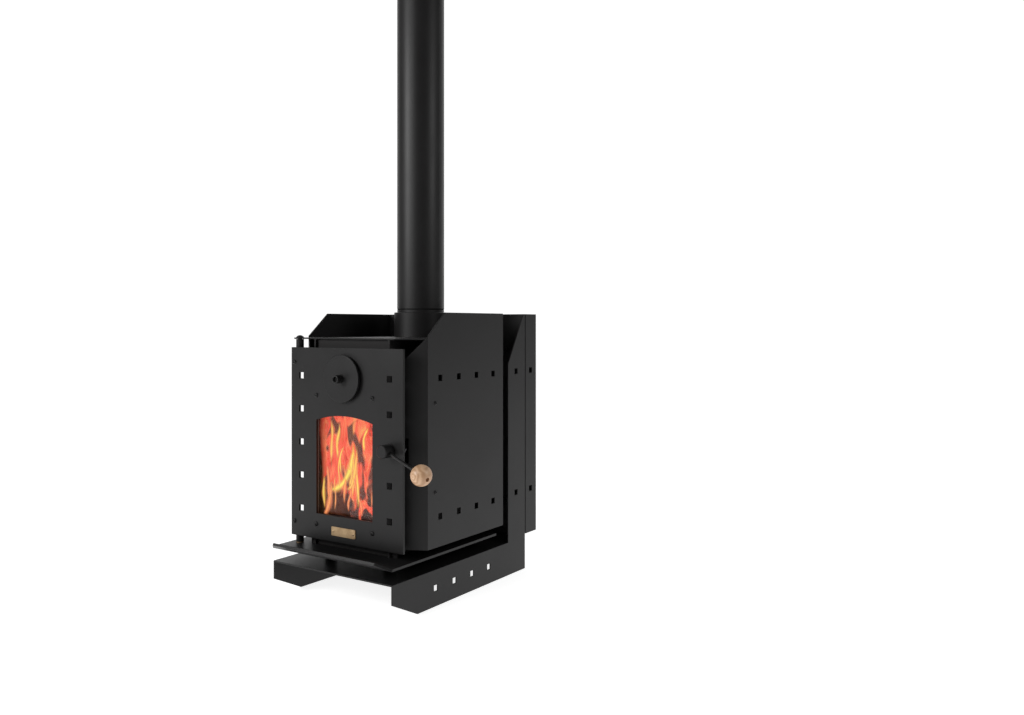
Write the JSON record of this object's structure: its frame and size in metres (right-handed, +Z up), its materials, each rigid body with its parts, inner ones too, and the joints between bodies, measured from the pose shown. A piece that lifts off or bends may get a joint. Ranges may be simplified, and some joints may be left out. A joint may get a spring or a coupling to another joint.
{
  "type": "wood burning stove",
  "caption": "Free-standing wood burning stove of folded plate with a hinged glazed door, a screw-type air disc, a lever latch, side and rear heat shields and a straight flue pipe.",
  "frame": {"origin": "on the floor, under the middle of the stove's overall box, which takes in the wooden ball at the handle's end", "axes": "+X to the right across the front as seen by a person facing the door, +Y from the door towards the back, +Z up along the flue"},
  "size_m": [0.411, 0.5325, 1.34],
  "materials": {
    "black_paint": "matte",
    "firebox_black": "matte",
    "steel": "satin",
    "brass": "satin",
    "wood": "satin",
    "glass": "gloss",
    "fire_brick": "matte",
    "rope": "matte",
    "grate_iron": "matte"
  },
  "bodies": {
    "root": {"stand_left": "black_paint", "stand_right": "black_paint", "stand_deck": "black_paint", "stand_back_panel": "black_paint", "rear_shield": "black_paint", "rear_shield_spacers": "steel", "rear_shield_screws": "black_paint", "base_bosses": "black_paint", "base_bolts": "steel", "bottom_plate": "black_paint", "firebox_left_wall": "firebox_black", "firebox_right_wall": "firebox_black", "firebox_back_wall": "firebox_black", "front_frame": "firebox_black", "top_plate": "black_paint", "flue_spigot": "black_paint", "flue_pipe": "black_paint", "brick_floor": "fire_brick", "brick_left": "fire_brick", "brick_right": "fire_brick", "brick_back": "fire_brick", "baffle_board": "fire_brick", "fire_grate": "grate_iron", "log_guard": "firebox_black", "side_shield_left": "black_paint", "side_shield_right": "black_paint", "casing_back": "black_paint", "shield_brackets": "firebox_black", "shield_screws": "black_paint", "hinge_pin_top": "black_paint", "hinge_pin_bottom": "steel", "hinge_washer": "brass"},
    "door": {"door_plate": "black_paint", "hinge_barrels": "black_paint", "hinge_screws": "black_paint", "glass_pane": "glass", "glass_gasket": "rope", "glass_clips": "firebox_black", "glass_screws": "black_paint", "glass_nuts": "steel", "rope_channel": "firebox_black", "door_rope": "rope", "name_plate": "brass", "name_plate_rivets": "brass", "air_stud": "steel", "air_stud_nut": "steel", "handle_bush": "steel"},
    "air_slider": {"air_washer": "brass"},
    "air_wheel": {"air_disc": "black_paint", "air_knob": "black_paint"},
    "handle": {"handle_hub": "black_paint", "handle_shaft": "steel", "handle_rod": "black_paint", "handle_ball": "wood", "latch_tongue": "steel", "latch_nut": "steel"}
  },
  "joints": [
    {"name": "door_swing", "type": "hinge", "parent": "root", "child": "door", "pos_m": [-0.1845, -0.18893, 0.316], "axis": [0, 0, -1], "range_deg": [0, 120]},
    {"name": "air_travel", "type": "slide", "parent": "door", "child": "air_slider", "axis": [0, -1, 0], "range_m": [-0.0037, 0.008]},
    {"name": "air_turn", "type": "hinge", "parent": "air_slider", "child": "air_wheel", "pos_m": [-0.0445, -0.21293, 0.45], "axis": [0, -1, 0], "range_deg": [-870, 1890]},
    {"name": "handle_turn", "type": "hinge", "parent": "door", "child": "handle", "pos_m": [0.0765, -0.21393, 0.316], "axis": [0, -1, 0], "range_deg": [-78, 30]}
  ],
  "couplings": [
    {"joint": "air_travel", "follows": "air_turn", "m_per_rad": 0.00023873}
  ]
}
